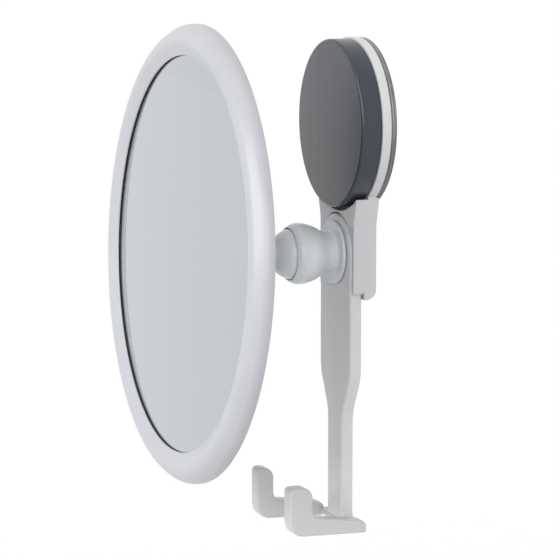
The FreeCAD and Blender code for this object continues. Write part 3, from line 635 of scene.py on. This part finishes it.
STEM, STEM_FLARE, STEM_START = 4.4, 0.9, 0.93 * BALL
latitude = np.linspace(-math.pi / 2, math.pi / 2 - math.asin((STEM + STEM_FLARE) / BALL), 64)
sphere = BALL * np.stack([np.cos(latitude), np.sin(latitude)], -1)
stem = rounded([
    tuple(sphere[-1]),
    (STEM, STEM_START, 0.8),
    (STEM, FOOT_BACK, 1.0),
    (FOOT, FOOT_BACK, 0.4),
    (FOOT, BOSS_BACK - CLEAR, 0.4),
    (0, BOSS_BACK - CLEAR),
])
ball = turned("ball_and_stem", np.concatenate([sphere, stem[1:]]), BALL_CENTRE, MIRROR_AXIS, 128)
stands_for(ball, "ball_stud", FINISHES["socket_grey"])


# %% [markdown]
# ## The knob and the suction cup
#
# The knob is a shallow cap with a fine round on its front edge. The cup behind it is one soft disc,
# whose edge was moulded with three lips. They catch the light one by one.

# %% Knob and cup
KNOB = half_width("knob_cap")
KNOB_BACK, KNOB_FACE = depths("knob_cap")
KNOB_INSIDE, KNOB_CEILING = KNOB - 1.7, KNOB_FACE - 1.2
knob_outline = rounded([
    (0, KNOB_CEILING),
    (KNOB_INSIDE, KNOB_CEILING, 0.8),
    (KNOB_INSIDE, KNOB_BACK, 0.3),
    (KNOB, KNOB_BACK, 0.35),
    (KNOB, KNOB_FACE, 0.95),
    (0, KNOB_FACE),
])
knob = turned("knob_shell", knob_outline, KNOB_CENTRE, WALL_AXIS, 240)
stands_for(knob, "knob_cap", FINISHES["knob_slate"])

CUP = half_width("suction_cup")
CUP_FRONT = depths("suction_cup")[1]
CORE_HOLE = half_width("cup_core") + CLEAR
SEAL, HOLLOW, GROOVE = 27.0, 1.2, CUP - 0.5
BACK_GROOVE, MIDDLE_LIP, FRONT_GROOVE = 0.75, 1.2, 1.7
cup_outline = rounded([
    (CORE_HOLE, HOLLOW, 0.2),
    (SEAL - 1.5, HOLLOW, 1.5),
    (SEAL, 0, 0.4),
    (CUP, 0, 0.25),
    (GROOVE, BACK_GROOVE, 0.25),
    (CUP - 0.05, MIDDLE_LIP, 0.25),
    (GROOVE, FRONT_GROOVE, 0.25),
    (CUP - 0.1, CUP_FRONT, 0.3),
    (CORE_HOLE, CUP_FRONT, 0.2),
], closed=True)
cup = turned("cup_disc", cup_outline, KNOB_CENTRE, WALL_AXIS, 240, closed=True)
stands_for(cup, "suction_cup", FINISHES["clear_vinyl"])


# %% [markdown]
# ## Flat mouldings with rounded rims
#
# The arm and the hook's prongs are flat plates of a clear outline whose long edges are rounded. A
# box with a Bevel modifier can't follow the S-shaped taper well. Instead the outline is stacked in
# rings: each ring lies a little further in from the rim and a little nearer the face, so that the
# rings trace a quarter circle, and the last ring on each side closes with a flat face.

# %% Stack an outline into a plate
def inset(outline, amount):
    """Move a closed outline inwards, along the mean of its edges' normals at each point."""
    ahead = np.roll(outline, -1, 0) - outline
    ahead /= np.linalg.norm(ahead, axis=1, keepdims=True)
    normal = np.stack([-ahead[:, 1], ahead[:, 0]], -1)
    normal = normal + np.roll(normal, 1, 0)
    normal /= np.linalg.norm(normal, axis=1, keepdims=True)
    return outline + amount * normal


def plate_points(outline, low, high, low_edge, high_edge, steps=6):
    """Rings of a plate, each (across, along, level), from a counter-clockwise outline.

    On a rim of radius r, the ring at angle q is r (1 - sin q) further in and r (1 - cos q) from the face.
    """
    q = np.linspace(0, math.pi / 2, steps + 1)
    insets = np.concatenate([low_edge * (1 - np.sin(q)), high_edge * (1 - np.sin(q[::-1]))])
    levels = np.concatenate([low + low_edge * (1 - np.cos(q)), high - high_edge * (1 - np.cos(q[::-1]))])
    rings = [np.column_stack([inset(outline, i), np.full(len(outline), v)]) for i, v in zip(insets, levels)]
    return np.stack(rings)


def plate_faces(rings, count, first=0):
    """Side faces between the rings, and one flat face on each end."""
    faces = grid_faces(rings, count, round_columns=True, first=first)
    last = first + (rings - 1) * count
    return faces + [list(range(first + count - 1, first - 1, -1)), list(range(last, last + count))]


def stacked(name, plates, axes):
    """One object from several plates. axes says which of (across, along, level) is X, Y and Z."""
    points, faces, first = [], [], 0
    for rings in plates:
        faces += plate_faces(len(rings), rings.shape[1], first)
        points.append(rings.reshape(-1, 3))
        first += rings.shape[0] * rings.shape[1]
    joined = np.concatenate(points)
    placed = np.stack([sign * joined[:, index] for index, sign in axes], -1)
    return mesh_piece(name, placed, faces)


# %% Arm
ARM_BACK, ARM_FRONT = depths("arm")
ARM_FOOT = drop("arm", 0)
HEAD = half_width("arm")
LEG, TAPER_TOP, TAPER_FOOT, TAPER_ARC, FOOT_FILLET = 7.0, -95.5, -110.0, 16, 3.0
FOOT_OUT, FOOT_SUNK = LEG + FOOT_FILLET + 0.2, ARM_FOOT - 0.8
AXIS_Z = BALL_CENTRE[2]

right_side = rounded([
    (HEAD, AXIS_Z),
    (HEAD, TAPER_TOP, TAPER_ARC),
    (LEG, TAPER_FOOT, TAPER_ARC),
    (LEG, ARM_FOOT, FOOT_FILLET),
    (FOOT_OUT, ARM_FOOT),
    (FOOT_OUT, FOOT_SUNK),
], steps=14)
turn = np.linspace(0, math.pi, 49)[1:-1]
head = np.stack([HEAD * np.cos(turn), AXIS_Z + HEAD * np.sin(turn)], -1)
arm_outline = np.concatenate([right_side[::-1], head, right_side * (-1, 1)])
arm_plate = plate_points(arm_outline, ARM_BACK, ARM_FRONT, low_edge=0.4, high_edge=1.2)
arm = stacked("arm_bar", [arm_plate], ((0, 1), (2, -1), (1, 1)))
stands_for(arm, "arm", FINISHES["arm_grey"])


# %% [markdown]
# ## The razor hook
#
# Each prong is the same kind of plate, seen from the side: a seat, a throat and an upright tip. The
# left one starts further forward, is slimmer at the tip and reaches both lower and higher. The low
# bar between them carries the leg.

# %% Hook
HOOK_LOW, HOOK_HIGH = drop("razor_hook", 0), drop("razor_hook", 1)
HOOK_BACK, HOOK_FRONT = depths("razor_hook")
PRONG_OUT = half_width("razor_hook")
PRONG_IN, SEAT_BACK, SEAT_THROAT, HOOK_RISE, PRONG_EDGE = 13.95, -148.9, -146.0, 0.7, 0.8
RIGHT_LOW, RIGHT_HIGH, RIGHT_TIP = HOOK_LOW + 0.5, HOOK_HIGH - 1.0, 9.2
LEFT_BACK, LEFT_TIP = 9.7, 6.8
BAR_FRONT, BAR_LOW, BAR_HALF, BAR_EDGE = HOOK_BACK + 5.0, RIGHT_LOW + 0.4, PRONG_IN + 1, 0.1


def prong(across, back, low, high, thickness):
    """A prong from X = across and from height low to high, whose seat starts at depth back."""
    outline = rounded([
        (back, low, 0.9),
        (HOOK_FRONT, low + HOOK_RISE, 5.5),
        (HOOK_FRONT, high, 1.8),
        (HOOK_FRONT - thickness, high, 4.0),
        (HOOK_FRONT - thickness, SEAT_THROAT, 3.3),
        (back, SEAT_BACK, 2.6),
    ], closed=True, steps=10)
    return plate_points(outline, across, across + PRONG_OUT - PRONG_IN, PRONG_EDGE, PRONG_EDGE)


bar_outline = rounded([
    (HOOK_BACK, BAR_LOW, 0.5),
    (BAR_FRONT, BAR_LOW, 0.7),
    (BAR_FRONT, ARM_FOOT, 0.1),
    (HOOK_BACK, ARM_FOOT, 0.4),
], closed=True)
hook = stacked("hook_moulding", [
    prong(PRONG_IN, HOOK_BACK, RIGHT_LOW, RIGHT_HIGH, RIGHT_TIP),
    prong(-PRONG_OUT, LEFT_BACK, HOOK_LOW, HOOK_HIGH, LEFT_TIP),
    plate_points(bar_outline, -BAR_HALF, BAR_HALF, BAR_EDGE, BAR_EDGE),
], ((2, 1), (0, -1), (1, 1)))
stands_for(hook, "razor_hook", FINISHES["hook_grey"])


# %% [markdown]
# ## The bracket
#
# The bracket's channel, its flared shoulders and the round cut under the knob meet in ways that no
# single grid describes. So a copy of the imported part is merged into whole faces, and a small bevel
# rounds the edges that a hand would feel.

# %% Bracket
def softened(name, node, width, steps=3, sharp=30):
    """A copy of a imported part: points merged, flat faces joined, and edges bevelled (width in mm).

    An edge is bevelled where it turns more than sharp degrees.
    """
    mesh = frame["nodes"][node].data.copy()
    mesh.name = name
    mesh.materials.clear()
    work = bmesh.new()
    work.from_mesh(mesh)
    for layer in list(work.loops.layers.uv):
        work.loops.layers.uv.remove(layer)
    bmesh.ops.remove_doubles(work, verts=work.verts, dist=2e-6)
    bmesh.ops.dissolve_limit(work, angle_limit=math.radians(0.6), verts=work.verts, edges=work.edges)
    bmesh.ops.recalc_face_normals(work, faces=work.faces)
    work.to_mesh(mesh)
    work.free()
    if mesh.has_custom_normals:
        mesh.attributes.remove(mesh.attributes["custom_normal"])
    mesh.polygons.foreach_set("use_smooth", np.ones(len(mesh.polygons), bool))
    mesh.set_sharp_from_angle(angle=math.radians(sharp))
    piece = bpy.data.objects.new(name, mesh)
    bpy.context.scene.collection.objects.link(piece)
    bevel = piece.modifiers.new("soft_edges", "BEVEL")
    bevel.width = width * MM
    bevel.segments = steps
    bevel.limit_method = "ANGLE"
    bevel.angle_limit = math.radians(sharp)
    bevel.harden_normals = True
    bevel.use_clamp_overlap = True
    print(f"{name}: {len(mesh.vertices)} points before its bevel")
    return piece


bracket = softened("bracket_moulding", "bracket", 0.35)
stands_for(bracket, "bracket", FINISHES["mount_white"])


# %% [markdown]
# ## The parts inside
#
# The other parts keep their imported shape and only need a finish. They show in an exploded view, and
# through the gaps round the ball's stem and under the arm.

# %% Finishes of the parts inside
INSIDE = {
    "steel_turned": ("draw_stud", "wave_washer"),
    "steel_socket": ("socket_screw", "socket_washer"),
    "zinc": ("detent_spring", "shoe_screws", "collar_screws"),
    "brass": ("threaded_insert",),
    "aluminium": ("mount_plate",),
    "acetal": ("slide_shoe", "ball_seat", "ball_core"),
    "black_rubber": ("spring_ring", "cover_gasket"),
    "clear_vinyl": ("cup_core",),
    "grey_foam": ("backing_pad",),
    "mount_white": ("nut_carrier",),
}
for finish, members in INSIDE.items():
    for member in members:
        materials = frame["nodes"][member].data.materials
        materials.clear()
        materials.append(FINISHES[finish])
print("parts inside:", sum(len(members) for members in INSIDE.values()))


# %% [markdown]
# ## Stage, light and camera
#
# A very wide pale floor, well below the object, has no edge in any view and keeps the shadow out of
# the way. An even sky gives the flat studio light. Two broad suns stand for softboxes: the main one
# is in front and above, and a weaker one is at the right. The camera is far away with a long lens,
# so that parallel edges stay almost parallel.

# %% Floor, light and camera
def make_floor(radius=40000, below=150, points=128):
    """A flat disc, 80 m across, 150 mm under the hook."""
    t = np.linspace(0, 2 * math.pi, points, endpoint=False)
    level = np.full(points, drop("razor_hook", 0) - below)
    ring = np.stack([radius * np.cos(t), radius * np.sin(t), level], -1)
    floor = mesh_piece("floor", ring, [list(range(points))])
    material, wire = start("floor_paper")
    cloud = noise(wire, 3.0)
    close(material, wire, blend(wire, cloud, (0.76, 0.76, 0.76), (0.75, 0.75, 0.75)), 0.9 + 0.05 * cloud)
    floor.data.materials.append(material)


def make_sun(name, way, strength, spread):
    """A broad sun that shines along way, with its disc spread over that many degrees."""
    data = bpy.data.lights.new(name, "SUN")
    data.energy = strength
    data.angle = math.radians(spread)
    sun = bpy.data.objects.new(name, data)
    sun.rotation_euler = Vector(way).to_track_quat("-Z", "Y").to_euler()
    bpy.context.scene.collection.objects.link(sun)


def make_camera(azimuth, elevation, distance, lens, aim):
    """A camera that looks at aim from an azimuth and elevation in degrees, distance metres away."""
    a, e = math.radians(azimuth), math.radians(elevation)
    back = Vector((math.sin(a) * math.cos(e), -math.cos(a) * math.cos(e), math.sin(e)))
    data = bpy.data.cameras.new("camera")
    data.lens = lens
    data.sensor_width = 36
    camera = bpy.data.objects.new("camera", data)
    camera.location = Vector(aim) + back * distance
    camera.rotation_euler = (-back).to_track_quat("-Z", "Y").to_euler()
    bpy.context.scene.collection.objects.link(camera)
    bpy.context.scene.camera = camera


make_floor()
world = bpy.data.worlds.new("studio")
world.use_nodes = True
sky = world.node_tree.nodes["Background"].inputs
sky["Color"].default_value = (1.0, 1.0, 1.0, 1.0)
sky["Strength"].default_value = 1.0
bpy.context.scene.world = world
bpy.context.scene.view_settings.view_transform = "Standard"
make_sun("front_softbox", way=(-0.25, 0.92, -0.31), strength=2.4, spread=50)
make_sun("side_softbox", way=(-0.86, 0.46, -0.21), strength=1.2, spread=50)
make_camera(azimuth=68.75, elevation=8.11, distance=0.977, lens=166.8, aim=(-0.00138, -0.03314, -0.05866))
print("stage: floor, 2 suns, 1 camera")
